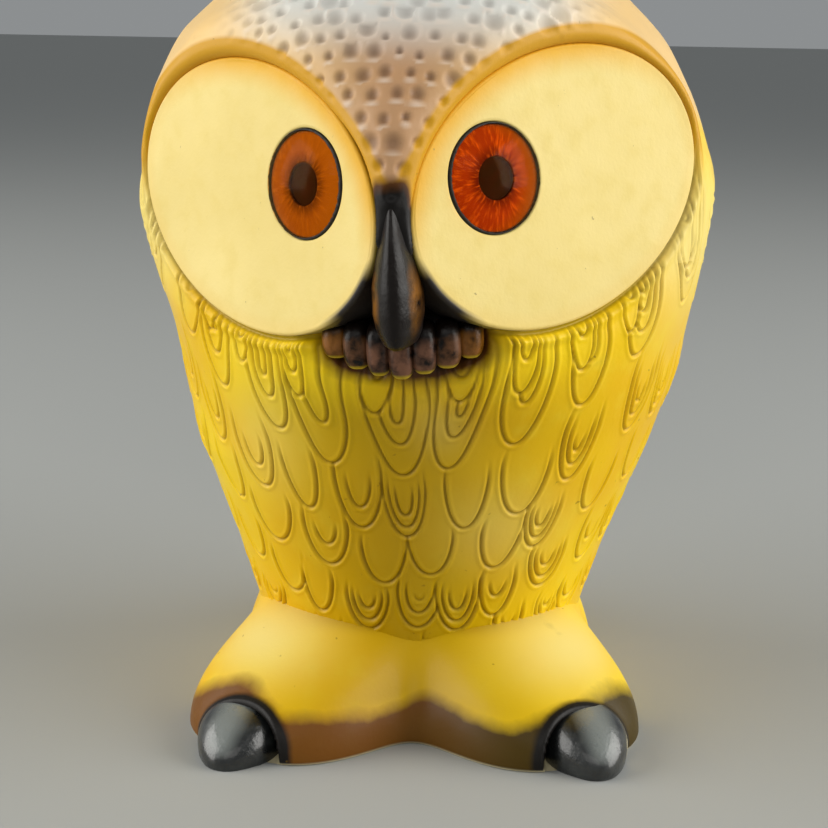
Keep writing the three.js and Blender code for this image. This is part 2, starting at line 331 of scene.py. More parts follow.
def skin_round_disc(points, side):
    """Moves the skin near one disc, and returns it with masks for its paint.

    d is the distance outside the oval, and w the height over the disc's face.
    """
    to_disc = (tilt_frame @ disc_frame(side)).inverted()
    q = apply(to_disc, points)
    outside, angle = oval_place(q[..., 0] * side, q[..., 1])
    facing = q[..., 2] > -32
    d = np.maximum(outside, 0)
    w = q[..., 2]

    inner = smooth(135, 165, angle)
    over = smooth(30, 72, angle)
    brow_height = 0.9 + 0.9 * over - 0.7 * inner
    near_brow = np.exp(-((d / (3.6 + 4.4 * over - 3.6 * inner)) ** 2))
    brow = w + (brow_height - w) * near_brow
    roll = 2.2 - 0.7 * inner
    t = np.clip(d / roll, 0, 1)
    lip = np.sqrt(np.clip(1 - (1 - t) ** 2, 0, 1))
    brow = BROW_START + (brow - BROW_START) * lip

    near_cheek = np.exp(-((d / CHEEK_WIDTH) ** 2))
    cheek = w + (CHEEK_LEVEL - w) * near_cheek
    cheek += 0.75 * np.exp(-(((d - 2.6) / 1.1) ** 2)) - 0.7 * np.exp(-(((d - 0.7) / 0.55) ** 2))

    brow_share = smooth(-32, 6, angle) * (1 - smooth(170, 192, angle))
    recess_share = smooth(170, 192, angle) * (1 - smooth(226, 240, angle))
    shaped = cheek + (brow - cheek) * brow_share + (w - cheek) * recess_share
    under = smooth(0.0, -0.9, outside)
    shaped = shaped + (np.minimum(w, PLATE_COVER) - shaped) * under
    q[..., 2] = np.where(facing, shaped, w)
    edge = np.where(facing, brow_share * (1 - smooth(2.4 + 1.4 * inner, 4.6 + 3.6 * inner, d)), 0)
    # the skin just under a disc's lower rim, where the groove's painted shade goes
    low_rim = np.where(facing, (1 - brow_share) * (1 - recess_share) * (1 - smooth(0.9, 1.6, d)), 0)
    near = np.where(facing, outside, FAR_AWAY)
    return apply(to_disc.inverted(), q), edge, low_rim, near


NECK_PROW = 2.6  # how far the ridge between the discs stands out of the egg
RECESS_DEPTH = 4.5  # how far the skin behind the beak is pressed in


def head_skin(angle, along):
    """The egg with its prow, brows and cheeks, and the masks that the paint needs."""
    points = egg(angle, along)
    x, z = points[..., 0], points[..., 2]
    in_front = np.cos(angle) > 0
    prow = np.exp(-((x / 4.6) ** 2)) * smooth(104, 118, z) * (1 - smooth(128, 150, z))
    recess = np.exp(-((x / 17.0) ** 4)) * smooth(84, 91, z) * (1 - smooth(104, 117, z))
    points[..., 1] -= np.where(in_front, NECK_PROW * prow - RECESS_DEPTH * recess, 0)
    edge = np.zeros_like(x)
    low_rim = np.zeros_like(x)
    near = np.full_like(x, FAR_AWAY)
    for side, _ in SIDES:
        points, one_edge, one_rim, one_near = skin_round_disc(points, side)
        edge = np.maximum(edge, one_edge)
        low_rim = np.maximum(low_rim, one_rim)
        near = np.minimum(near, one_near)
    return points, {"edge": edge, "rim": low_rim, "near": near}


# %% [markdown]
# ## Feathers
# The carver cut each feather as a long U with one or two smaller ones inside it, and let the rows
# overlap like tiles. The rows are drawn from the bottom up: each feather first wipes the skin clean
# inside its outline, and then cuts its grooves, with a slight bank thrown up on either side.

# %% Grooves
rng = np.random.default_rng(7)
FEATHER_DEPTH = 0.5
GROOVE_HALF_WIDTH = 0.33


def u_distance(s, h, half_width, bend):
    """Distance in mm from a U: s is across it, h above its tip, bend the height of its round end."""
    below = np.maximum(bend - h, 0)
    e = np.maximum(np.hypot(s / half_width, below / bend), 1e-6)
    slope = np.hypot(s / half_width**2, below / bend**2) / e
    round_end = (e - 1) / np.maximum(slope, 1e-6)
    return np.where(h < bend, round_end, np.abs(s) - half_width)


def cut_feather(carve, s, h, width, length, nested):
    """Adds one feather to the carving, in mm of depth."""
    half = width / 2
    shape = half * (1 - 0.12 * smooth(0.5 * length, length, h))
    bend = min(1.7 * width, 0.75 * length)
    distance = u_distance(s, h, shape, bend)
    inside = smooth(0.3, -0.3, distance) * (1 - smooth(0.8 * length, length, h))
    carve *= 1 - inside
    for share, lift, reach in nested:
        u = u_distance(s, h - lift, np.maximum(shape * share, 0.3), bend * share)
        fade = 1 - smooth(reach * length * 0.55, reach * length, h)
        fade = fade * smooth(-3.0, -0.5, h - lift + 1.5)
        groove = np.exp(-((u / GROOVE_HALF_WIDTH) ** 2))
        bank = np.exp(-(((np.abs(u) - 0.8) / 0.4) ** 2))
        carve += fade * FEATHER_DEPTH * (groove - 0.35 * bank)
    return carve


# rows from the bottom: height of the middle tip, rise towards the sides, first angle, pitch, width, length
FEATHER_ROWS = (
    (12.5, 0.0030, -88.0, 12.5, 8.0, 12),
    (23.5, 0.0036, -94.0, 14.0, 9.4, 16),
    (36.0, 0.0045, -96.0, 15.0, 10.6, 18),
    (47.0, 0.0056, -103.5, 13.4, 10.6, 21),
    (61.5, 0.0085, -94.5, 13.2, 11.6, 36),
    (75.5, 0.0070, -88.0, 14.0, 6.0, 26),
)
RISE_STOPS = 62  # degrees from the front, past which a row runs level
LONG_FEATHER = 25
# nested grooves: share of the feather's width, lift above its tip, share of its length
NESTS = (
    ((1.0, 0.0, 1.0), (0.62, 3.8, 0.84), (0.26, 7.2, 0.6)),
    ((1.0, 0.0, 1.0), (0.5, 5.2, 0.7)),
    ((1.0, 0.0, 0.9), (0.72, 2.4, 0.8), (0.4, 5.4, 0.7), (0.14, 8.2, 0.4)),
    ((1.0, 0.0, 0.85),),
)
LONG_NESTS = (
    ((1.0, 0.0, 1.0), (0.56, 7.5, 1.0), (0.2, 12.5, 1.0)),
    ((1.0, 0.0, 1.0), (0.66, 5.5, 1.0), (0.36, 10.0, 1.0), (0.12, 14.0, 1.0)),
    ((1.0, 0.0, 1.0), (0.42, 10.0, 1.0)),
)


def plan_feathers():
    """Every feather, lowest row first: tip angle, tip's length up the side, width, length, lean, nest."""
    plan = []
    for middle, rise, first, pitch, width, length in FEATHER_ROWS:
        count = round(360 / pitch)
        for i in range(count):
            tip_angle = first + 360 / count * i + rng.uniform(-2.2, 2.2)
            tip_angle = (tip_angle + 180) % 360 - 180
            aside = min(abs(tip_angle), RISE_STOPS)
            tip_height = middle + rise * aside**2 + rng.uniform(-1.8, 1.8)
            tip = np.interp(tip_height, outline_z, outline_length)
            size = (width * rng.uniform(0.78, 1.14), length * rng.uniform(0.9, 1.1))
            nests = LONG_NESTS if length > LONG_FEATHER else NESTS
            nest = nests[rng.integers(len(nests))]
            plan.append((tip_angle, tip, *size, rng.uniform(-0.07, 0.07), nest))
    return plan


FEATHERS = plan_feathers()


def feathers(angle, along):
    """Depth of the feather grooves at each point of the skin."""
    carve = np.zeros_like(angle)
    degrees = np.degrees(angle)
    radius = np.interp(along, outline_length, outline_x)
    for tip_angle, tip, width, length, lean, nest in FEATHERS:
        for turn in (-360, 0):
            h = along - tip
            s = np.radians(degrees - tip_angle + turn) * radius + lean * h
            near = (np.abs(s) < width) & (h > -3) & (h < length + 1)
            if near.any():
                carve[near] = cut_feather(carve[near], s[near], h[near], width, length, nest)
    return carve


print(len(FEATHERS), "feathers")

# %% [markdown]
# ## Dimples of the crown
# The crown's short feathers are rows of round thumb marks, each with a raised lip. They run across the
# head in lines that start small in the V between the brows and grow towards the top.

# %% Thumb marks
HEAD_MIDDLE, HEAD_RADIUS = 112.0, 66.0
DIMPLE_PITCH = 4.3
DIMPLE_ROW = 4.1
DIMPLE_RADIUS = 2.35
DIMPLE_COUNT = 120  # rows and columns of random sizes, more than the head has
dimple_shift = rng.uniform(-0.24, 0.24, (DIMPLE_COUNT, DIMPLE_COUNT, 2))
dimple_size = rng.uniform(0.55, 1.12, (DIMPLE_COUNT, DIMPLE_COUNT))


def dimples(points):
    """Depth of the thumb marks, and the pale lips round them."""
    x, y, z = (points[..., k] for k in range(3))
    over = np.arctan2(z - HEAD_MIDDLE, -y)
    arc = over * HEAD_RADIUS / DIMPLE_ROW
    row = np.round(arc).astype(int)
    across = x / DIMPLE_PITCH - 0.5 * (row % 2)
    column = np.round(across).astype(int)
    here = (row + DIMPLE_COUNT // 2) % DIMPLE_COUNT, (column + DIMPLE_COUNT // 2) % DIMPLE_COUNT
    loose = 0.45 + 0.55 * smooth(140, 152, z)
    shift = dimple_shift[here] * loose[..., None]
    size = dimple_size[here]
    dx = (across - column - shift[..., 0]) * DIMPLE_PITCH
    dy = (arc - row - shift[..., 1]) * DIMPLE_ROW
    distance = np.hypot(dx, dy)
    radius = DIMPLE_RADIUS * size * (0.86 + 0.34 * smooth(146, 160, z))
    pit = np.clip(1 - (distance / radius) ** 2, 0, 1) ** 1.3
    big = smooth(0.92, 1.05, size) * smooth(144, 152, z)
    # the pale rings and the pale bumps below the marks are partly painted highlight
    ring = np.exp(-(((distance - radius) / 0.55) ** 2)) * big
    below = np.hypot(0.75 * dx, dy + 1.15 * radius) / (0.62 * radius)
    bump = np.exp(-(below**2)) * (1 - big)
    return pit, np.maximum(ring, bump)


# %% [markdown]
# ## Wrapping the grid
# One function makes every sheet of skin. It starts from a flat bmesh grid, lets a shape function place
# its points, and writes the paint masks beside them as vertex layers. The sheet's edge is then drawn
# inwards to one point deep in the body, so that it is a closed solid with a sharp, hidden seam.

# %% Sheets
HEART = Vector((0, 0, 110))  # the point inside the torso that every sheet closes to


def grid_sheet(columns, rows, shape):
    """A bmesh grid placed by shape(u, v), which returns points in mm and a dictionary of paint masks."""
    bm = bmesh.new()
    bmesh.ops.create_grid(bm, x_segments=columns, y_segments=rows, size=0.5)
    flat = np.array([vert.co[:2] for vert in bm.verts])
    flat = (flat - flat.min(axis=0)) / (flat.max(axis=0) - flat.min(axis=0))
    column = np.round(flat[:, 0] * columns).astype(int)
    row = np.round(flat[:, 1] * rows).astype(int)
    u, v = np.meshgrid(np.linspace(0, 1, columns + 1), np.linspace(0, 1, rows + 1))
    points, paints = shape(u, v)
    placed = points[row, column] * MM
    for vert, place in zip(bm.verts, placed):
        vert.co = place
    for name, values in paints.items():
        layer = bm.verts.layers.float.new(name)
        for vert, value in zip(bm.verts, values[row, column]):
            vert[layer] = value
    return bm


def skin_normals(points):
    """Outward normals of a grid of points, from the steps along its rows and columns."""
    across = np.gradient(points, axis=1)
    upward = np.gradient(points, axis=0)
    normal = np.cross(across, upward)
    length = np.linalg.norm(normal, axis=-1, keepdims=True)
    normal = normal / np.maximum(length, 1e-9)
    outward = points - np.array(HEART)
    flip = np.sign((normal * outward).sum(axis=-1, keepdims=True))
    return normal * np.where(flip == 0, 1, flip)


def close_to(bm, point):
    """Draws the open edge in to one point, and keeps the seam sharp."""
    rim = [edge for edge in bm.edges if edge.is_boundary]
    for edge in rim:
        edge.smooth = False
    drawn = bmesh.ops.extrude_edge_only(bm, edges=rim)["geom"]
    ends = [item for item in drawn if isinstance(item, bmesh.types.BMVert)]
    bmesh.ops.pointmerge(bm, verts=ends, merge_co=Vector(point) * MM)


def finish_piece(bm, name, place, material, replaced=("body_casting",)):
    """Turns a bmesh into a piece at its place in the frame, smooth shaded, hangs it on the root body and
    hides the solid parts that it replaces.
    """
    bmesh.ops.recalc_face_normals(bm, faces=bm.faces)
    for face in bm.faces:
        face.smooth = True
    scaled = place.copy()
    scaled.translation *= MM
    bmesh.ops.transform(bm, matrix=scaled, verts=bm.verts)
    mesh = bpy.data.meshes.new(name)
    bm.to_mesh(mesh)
    bm.free()
    piece = bpy.data.objects.new(name, mesh)
    bpy.context.scene.collection.objects.link(piece)
    mesh.materials.append(material)
    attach(piece, "root")
    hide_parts(*replaced)
    triangles = sum(len(polygon.vertices) - 2 for polygon in mesh.polygons)
    print(name, triangles, "triangles")

# %% [markdown]
# ## Painted plaster
# The casting was sealed, sprayed mustard yellow, and shaded with an airbrush: dark in the grooves, mauve
# and grey over the crown, brown-black round the beak. A satin lacquer went over it all. Paint follows the
# masks in the mesh, and noise breaks each mask's edge, as overspray and handling do. Some masks also
# paint in light: shade down the middle of the belly and skirt and along the discs' lower edges, highlights
# on the flanks, leg tops, crown and claws, and a reflection of the light above on the crown's pale top.

# %% Paint helpers
def plug(material, node, socket, value):
    """Puts a number, a hex colour or a (node, output) pair into a socket."""
    if isinstance(value, tuple):
        material.node_tree.links.new(value[0].outputs[value[1]], node.inputs[socket])
    elif isinstance(value, str):
        node.inputs[socket].default_value = linear(value)
    else:
        node.inputs[socket].default_value = value


def object_noise(material, scale_mm, detail=3.0):
    """Noise on Object coordinates whose blobs are about scale_mm across."""
    place = add_node(material, "ShaderNodeTexCoord")
    settings = {"Scale": 1 / (scale_mm * MM), "Detail": detail, "Roughness": 0.55}
    return add_node(material, "ShaderNodeTexNoise", settings, {"Vector": (place, "Object")}), "Fac"


def mask(material, name):
    """A paint mask that the mesh carries."""
    return add_node(material, "ShaderNodeAttribute", {"attribute_name": name}), "Fac"


def spread(material, source, low, high, to_low=0.0, to_high=1.0):
    """Maps low to high of a value on to a new range, and holds it there."""
    values = {"From Min": low, "From Max": high, "To Min": to_low, "To Max": to_high}
    return add_node(material, "ShaderNodeMapRange", values, {"Value": source}), "Result"


def reckon(material, operation, *values):
    """One Math node. Each value is a number or a (node, output) pair."""
    node = add_node(material, "ShaderNodeMath", {"operation": operation})
    for socket, value in enumerate(values):
        plug(material, node, socket, value)
    return node, "Value"


def lay(material, colour, paint, source, low, high, most=1.0):
    """Lays paint over colour: none where source is under low, and its most where source is over high."""
    node = add_node(material, "ShaderNodeMix", {"data_type": "RGBA"})
    amount = spread(material, source, low, high, 0.0, most)
    for socket, value in ((0, amount), (6, colour), (7, paint)):
        plug(material, node, socket, value)
    return node, 2


def lay_over_masks(material, colour, layers):
    """Lays one paint after another, each where its own mask says."""
    for paint, name, low, high, most in layers:
        colour = lay(material, colour, paint, mask(material, name), low, high, most)
    return colour


def finish_paint(material, output, colour, roughness, bump_height, bump_mm, coat=0.0, specular=0.5):
    """Joins colour, roughness and bump to the painted surface."""
    settings = {"Coat Weight": coat, "Coat Roughness": 0.12, "Specular IOR Level": specular}
    bump_settings = {"Strength": 1.0, "Distance": bump_mm * MM}
    bump = add_node(material, "ShaderNodeBump", bump_settings, {"Height": bump_height})
    links = {"Base Color": colour, "Roughness": roughness, "Normal": (bump, "Normal")}
    shader = add_node(material, "ShaderNodeBsdfPrincipled", settings, links)
    plug(material, output, "Surface", (shader, "BSDF"))


# %% Body paint
# paint, its mask, where it starts and where it is full, and how much it then covers
YELLOW_LAYERS = (
    ("#A98400", "mustard_shade", 0.0, 1.0, 0.8),  # painted shade: darker mustard down the middle of the belly and skirt and under the belly
    ("#F2E08C", "wear_and_highlight", 0.0, 1.0, 1.0),  # pale yellow: paint rubbed thin in places, and painted highlight on the flanks and leg tops
    ("#7A5E00", "carve", 0.1, 0.9, 0.6),  # olive-brown that stayed in the grooves
)
HEAD_LAYERS = (
    ("#B88C68", "mauve", 0.0, 1.0, 1.0),  # sprayed between the brows
    ("#D8DCDA", "grey_and_reflection", 0.0, 1.0, 1.0),  # grey sprayed on the top of the head, made pale as a painted reflection of the light above
    ("#54382A", "pit", 0.05, 0.9, 0.55),  # brown that ran into the thumb marks
    ("#E6D6C6", "lip", 0.15, 1.0, 0.5),  # pale on the ridges round and below them: partly worn paint, partly painted highlight
    ("#D29A10", "edge", 0.05, 0.6, 0.95),  # golden rims of the brows
    ("#6E5A0C", "rim", 0.1, 0.9, 0.6),  # painted shade: olive line in the groove under the discs
)


def body_paint():
    """Airbrushed plaster: the satin skin of the whole body."""
    material, output = new_material("airbrushed_plaster")
    mottle = object_noise(material, 9, 4.0)
    grain = object_noise(material, 1.1)
    ragged = reckon(material, "MULTIPLY_ADD", mottle, 0.5, -0.25)

    def ragged_mask(name):
        return reckon(material, "ADD", mask(material, name), ragged)

    colour = lay(material, "#EABA02", "#F4D00A", object_noise(material, 42, 2.0), 0.38, 0.66)
    colour = lay(material, colour, "#F0D436", mottle, 0.52, 0.72, 0.45)
    colour = lay_over_masks(material, colour, YELLOW_LAYERS)
    colour = lay(material, colour, "#EFC987", ragged_mask("crown"), 0.15, 0.6)
    colour = lay_over_masks(material, colour, HEAD_LAYERS)
    shadow_edge = ragged_mask("dark")
    colour = lay(material, colour, "#5A3206", shadow_edge, 0.08, 0.45)
    colour = lay(material, colour, "#0A0604", shadow_edge, 0.35, 0.8)
    # the hem's brown darkens towards the owl's left
    hem_brown = lay(material, "#66360E", "#1E0E02", mask(material, "darker_to_owls_left"), 0.0, 1.0)
    colour = lay(material, colour, hem_brown, ragged_mask("hem"), 0.2, 0.7, 0.95)
    colour = lay(material, colour, "#14110F", ragged_mask("soot"), 0.15, 0.7)
    colour = lay(material, colour, "#CFC29C", mask(material, "bare"), 0.0, 1.0)
    colour = lay(material, colour, "#7A5A10", object_noise(material, 2.2, 2.0), 0.74, 0.78, 0.5)
    roughness = spread(material, mottle, 0.3, 0.7, 0.34, 0.52)
    height = reckon(material, "MULTIPLY_ADD", grain, 0.35, mottle)
    finish_paint(material, output, colour, roughness, height, 0.12, coat=0.03, specular=0.2)
    return material


plaster_skin = body_paint()

# %% [markdown]
# ## Belly, breast, crown and back
# The skin is made in six sheets that share their edges, three in front and three behind. The feathered
# ones need points about every third of a millimetre for their grooves; the head can be coarser.

# %% Masks over the torso
def around(value, middle, width):
    """1 at middle, falling off smoothly over width."""
    return np.exp(-(((value - middle) / width) ** 2))


CROWN_LINE = 134  # the yellow ends at this height, and lower between the brows


def torso_paints(x, z, in_face, angle, front, crown):
    """Where each airbrushed colour, painted shade and painted highlight lies on the torso."""
    face_x, face_z = in_face[..., 0], in_face[..., 2]
    # the black fills a triangle under the bridge of the beak, and ends below the beard in an arc
    half_width = 3.4 + np.maximum(DISC_HEIGHT - 0.6 - face_z, 0) * 0.46
    dark = smooth(126.5, 119, face_z) * (1 - smooth(0.7 * half_width, 1.3 * half_width, np.abs(face_x)))
    dark = dark * smooth(78, 89, face_z - 0.016 * face_x**2) * front
    mauve = crown * around(x, 0, 20) * smooth(112, 124, z) * (1 - 0.45 * smooth(146, 164, z)) * front
    # grey paint on the top of the head, lightened as a painted reflection of the light above
    grey_and_reflection = crown * smooth(143, 157, z) * (1 - smooth(22, 44, np.abs(x)))
    # painted shade: darker down the belly's middle and low on the belly above the skirt
    mustard_shade = around(x, 0, 23) * (1 - smooth(72, 88, z)) * front + 0.8 * smooth(22, 12, z) * front
    # pale patches on the belly: partly rubbed paint, partly painted highlight
    wear_and_highlight = around(x, 22, 12) * around(z, 48, 10) + 0.7 * around(x, 9, 6) * around(z, 72, 6)
    wear_and_highlight = 0.5 * (wear_and_highlight + around(x, -30, 9) * around(z, 66, 14)) * front
    # painted highlight along the flanks of the head
    flank = smooth(0.72, 0.92, np.abs(np.sin(angle))) * smooth(-0.3, 0.1, np.cos(angle))
    wear_and_highlight += 1.5 * flank * around(z, 110, 18)
    return {
        "dark": dark, "mauve": 0.9 * mauve, "grey_and_reflection": 0.88 * grey_and_reflection, "wear_and_highlight": 0.5 * wear_and_highlight,
        "mustard_shade": np.clip(mustard_shade, 0, 1),
    }


def torso_sheet(first_angle, last_angle, first_along, last_along):
    """A shape for grid_sheet: the torso between two angles (degrees) and two lengths up its side."""

    def shape(u, v):
        angle = np.radians(first_angle + (last_angle - first_angle) * u)
        along = first_along + (last_along - first_along) * v
        points, masks = head_skin(angle, along)
        normals = skin_normals(points)
        x, z = points[..., 0], points[..., 2]
        in_face = apply(tilt_frame.inverted(), points)
        front = smooth(-0.2, 0.3, np.cos(angle))
        behind = 1 - front
        near = masks["near"]

        crown_line = CROWN_LINE - 22 * around(x, 0, 14) * front + 3 * behind * np.sin(3 * angle)
        crown = smooth(crown_line - 5 - 11 * behind, crown_line + 7 + 9 * behind, z)
        dimpled = smooth(crown_line + 3, crown_line + 9, z) * smooth(1.8, 3.8, near)
        dimpled = dimpled * (1 - smooth(26, 44, np.abs(x) * (0.55 + 0.45 * front)))
        pit, lip = (dimpled * depth for depth in dimples(points))
        beard_clear = 1 - around(in_face[..., 0], 0, 14) * smooth(83, 88, in_face[..., 2]) * front
        carve = feathers(angle, along) * (1 - crown) * smooth(0.6, 2.4, near) * beard_clear

        # the carver's hand left the skin wavy by about a tenth of a millimetre
        hand = 0.10 * np.sin(x / 6.1 + z / 9.7) * np.sin(z / 7.3 - points[..., 1] / 8.9)
        lift = -carve - 0.7 * pit + 0.2 * lip + hand * smooth(0.5, 3, near)
        paints = torso_paints(x, z, in_face, angle, front, crown)
        paints |= {
            "carve": np.clip(carve / FEATHER_DEPTH, 0, 1), "lip": lip, "crown": crown,
            "pit": pit * (1 - 0.6 * smooth(144, 157, z)),
            "edge": masks["edge"], "rim": masks["rim"] * (1 - crown),
        }
        return points + normals * lift[..., None], paints

    return shape

# %% The six sheets
FRONT_ANGLE = 96  # the front sheets reach this far round each side
BELLY_BOTTOM = 0.0
BREAST_BOTTOM, BREAST_TOP = (float(np.interp(z, outline_z, outline_length)) for z in (54, 104))

# [name, first angle, last angle, low edge, high edge, columns, rows]
SHEETS = (
    ("belly_plumage", -FRONT_ANGLE, FRONT_ANGLE, BELLY_BOTTOM, BREAST_BOTTOM, 570, 172),
    ("breast_plumage", -FRONT_ANGLE, FRONT_ANGLE, BREAST_BOTTOM, BREAST_TOP, 570, 172),
    ("crown", -FRONT_ANGLE, FRONT_ANGLE, BREAST_TOP, LENGTH_UP, 420, 225),
    ("rump_plumage", FRONT_ANGLE, 360 - FRONT_ANGLE, BELLY_BOTTOM, BREAST_BOTTOM, 500, 172),
    ("shoulder_plumage", FRONT_ANGLE, 360 - FRONT_ANGLE, BREAST_BOTTOM, BREAST_TOP, 500, 172),
    ("nape", FRONT_ANGLE, 360 - FRONT_ANGLE, BREAST_TOP, LENGTH_UP, 260, 225),
)
for name, first_angle, last_angle, low, high, columns, rows in SHEETS:
    bm = grid_sheet(columns, rows, torso_sheet(first_angle, last_angle, low, high))
    bmesh.ops.remove_doubles(bm, verts=bm.verts, dist=1e-7)
    close_to(bm, HEART)
    finish_piece(bm, name, torso_frame, plaster_skin)

# %% [markdown]
# ## Facial discs
# Each disc is a flat oval plate with a softly rounded rim and a round socket for the eye. The grid is
# wrapped as rings: from the socket's wall, over its lip, across the face to the rim and down behind.

# %% Disc plates
EYE_SOCKET = 10.95
SOCKET_DEPTH = 5.0
SOCKET_LIP = 0.5
SOCKET_SHADE = 0.1  # the share of the rings that is painted black inside the socket
RIM_ROUNDING = 0.8
PLATE_BACK = -9.0


def disc_shape(side):
    """Rings round the eye socket: v runs up the socket, across the face and down the outer wall."""

    def shape(u, v):
        angle = 2 * math.pi * u
        eye_x = -EYE_INWARD * math.cos(DISC["lean"]) + EYE_UP * math.sin(DISC["lean"])
        eye_y = EYE_INWARD * math.sin(DISC["lean"]) + EYE_UP * math.cos(DISC["lean"])
        rim_x = DISC["half_width"] * np.cos(angle)
        rim_y = DISC["half_height"] * np.sin(angle)
        towards_x, towards_y = rim_x - eye_x, rim_y - eye_y
        reach = np.hypot(towards_x, towards_y)
        unit_x, unit_y = towards_x / reach, towards_y / reach
        # v at the socket's floor, its lip's start and end, the rim's start and end, and the back
        stations = [0, 0.12, 0.18, 0.80, 0.92, 1.0]
        z = np.interp(v, stations, [-SOCKET_DEPTH, -SOCKET_LIP, 0, 0, -RIM_ROUNDING, PLATE_BACK])
        lip_turn = np.clip((v - stations[1]) / (stations[2] - stations[1]), 0, 1) * math.pi / 2
        rim_turn = np.clip((v - stations[3]) / (stations[4] - stations[3]), 0, 1) * math.pi / 2
        face = np.clip((v - stations[2]) / (stations[3] - stations[2]), 0, 1)
        z = np.where((v > stations[1]) & (v < stations[2]), -SOCKET_LIP * (1 - np.sin(lip_turn)), z)
        z = np.where((v > stations[3]) & (v < stations[4]), -RIM_ROUNDING * (1 - np.cos(rim_turn)), z)
        inner = EYE_SOCKET + SOCKET_LIP * (1 - np.cos(lip_turn))
        outer = reach - RIM_ROUNDING
        r = inner + (outer - (EYE_SOCKET + SOCKET_LIP)) * face
        r = r + RIM_ROUNDING * np.sin(rim_turn) * (v >= stations[3])
        x = eye_x + unit_x * r
        y = eye_y + unit_y * r
        outside, round_angle = oval_place(x, y)
        z = z + 0.12 * np.sin(x / 7.3) * np.sin(y / 6.1 + 0.6) * (face > 0) * (face < 1)
        in_socket = v < SOCKET_SHADE
        top = smooth(10, 70, round_angle) * (1 - smooth(150, 185, round_angle))
        inner_low = smooth(172, 194, round_angle) * (1 - smooth(204, 232, round_angle))
        paints = {
            "glow": np.exp(-((outside / 4.2) ** 2)) * (0.25 + 0.75 * top),
            # painted shade on the rim's down-turned edge
            "rim": smooth(-1.2, -0.1, outside) * smooth(-0.15, -1.0, z),
            "shade": inner_low * (smooth(-2.4, -0.4, outside) + smooth(-1.5, -4, z)) + in_socket,
        }
        points = np.stack([x * side, y, z], -1)
        return points, paints

    return shape


DISC_LAYERS = (
    ("#E8AE00", "glow", 0.1, 0.95, 0.95),  # yellow overspray from the brow
    ("#948010", "rim", 0.1, 0.9, 0.75),  # painted shade: olive where the rim turns down into the groove
    ("#1C1208", "shade", 0.25, 0.9, 1.0),  # black in the socket and beside the beak
)


def disc_paint():
    """Matt cream over plaster, with yellow overspray from the brow and a few specks of dirt."""
    material, output = new_material("matt_cream_plaster")
    mottle = object_noise(material, 5, 4.0)
    grain = object_noise(material, 0.8)
    colour = lay(material, "#E9D17C", "#F1DA88", object_noise(material, 26), 0.35, 0.68)
    colour = lay(material, colour, "#E4C96C", mottle, 0.5, 0.75, 0.35)
    colour = lay_over_masks(material, colour, DISC_LAYERS)
    colour = lay(material, colour, "#7A6430", object_noise(material, 1.6, 2.0), 0.765, 0.79, 0.55)
    roughness = spread(material, mottle, 0.3, 0.7, 0.55, 0.68)
    height = reckon(material, "MULTIPLY_ADD", grain, 0.4, mottle)
    finish_paint(material, output, colour, roughness, height, 0.10)
    return material


cream_plaster = disc_paint()
for side, word in SIDES:
    bm = grid_sheet(320, 90, disc_shape(side))
    bmesh.ops.remove_doubles(bm, verts=bm.verts, dist=1e-7)
    open_edges = [edge for edge in bm.edges if edge.is_boundary]
    bmesh.ops.bridge_loops(bm, edges=open_edges)
    finish_piece(bm, f"face_disc_{word}", face_frame @ disc_frame(side), cream_plaster)

# %% [markdown]
# ## Beak and beard
# The beak grows out of the prow as a narrow bridge, swells like a thumb and ends in a blunt tip. Under
# it hang seven short rounded tufts. All start as spheres, which already close at both ends.

# %% Beak
def lacquer_paint():
    """Black-brown lacquer over amber: thin on the beak's sides, where the amber shows."""
    material, output = new_material("black_brown_lacquer")
    mottle = object_noise(material, 4, 4.0)
    grain = object_noise(material, 0.7)
    thin = reckon(material, "MULTIPLY", mask(material, "amber"), spread(material, mottle, 0.25, 0.6))
    colour = lay(material, "#100906", "#8A560A", thin, 0.1, 0.85)
    dusty = reckon(material, "MULTIPLY", mask(material, "dust"), spread(material, mottle, 0.36, 0.6))
    colour = lay(material, colour, "#7C5540", dusty, 0.05, 0.9, 0.85)
    colour = lay(material, colour, "#C8AE30", mask(material, "yellow"), 0.2, 0.9, 0.9)
    roughness = spread(material, mottle, 0.3, 0.7, 0.26, 0.46)
    finish_paint(material, output, colour, roughness, grain, 0.10, coat=0.04, specular=0.2)
    return material


dark_lacquer = lacquer_paint()
# [height, half width, front], from the tip up to the bridge
BEAK_STATIONS = np.array([
    (91.6, 0.0, -75.0), (91.7, 2.4, -76.0), (92.5, 3.5, -77.4), (94.6, 4.4, -78.5), (98.5, 5.1, -79.2),
    (103, 5.0, -79.2), (108, 4.3, -78.6), (113, 3.2, -77.8), (117, 2.5, -76.4), (121, 1.9, -74.4),
    (124, 1.1, -72.0), (125, 0.0, -70.4),
])
BEAK_DEPTH = 10.0


def moved(bm, move):
    """Every vertex through a function of its place, as arrays."""
    points = np.array([vert.co for vert in bm.verts])
    for vert, place in zip(bm.verts, move(points)):
        vert.co = Vector(place) * MM


def write_mask(bm, name, values):
    """A paint mask on a bmesh, one value for each vertex."""
    layer = bm.verts.layers.float.new(name)
    for vert, value in zip(bm.verts, values):
        vert[layer] = value


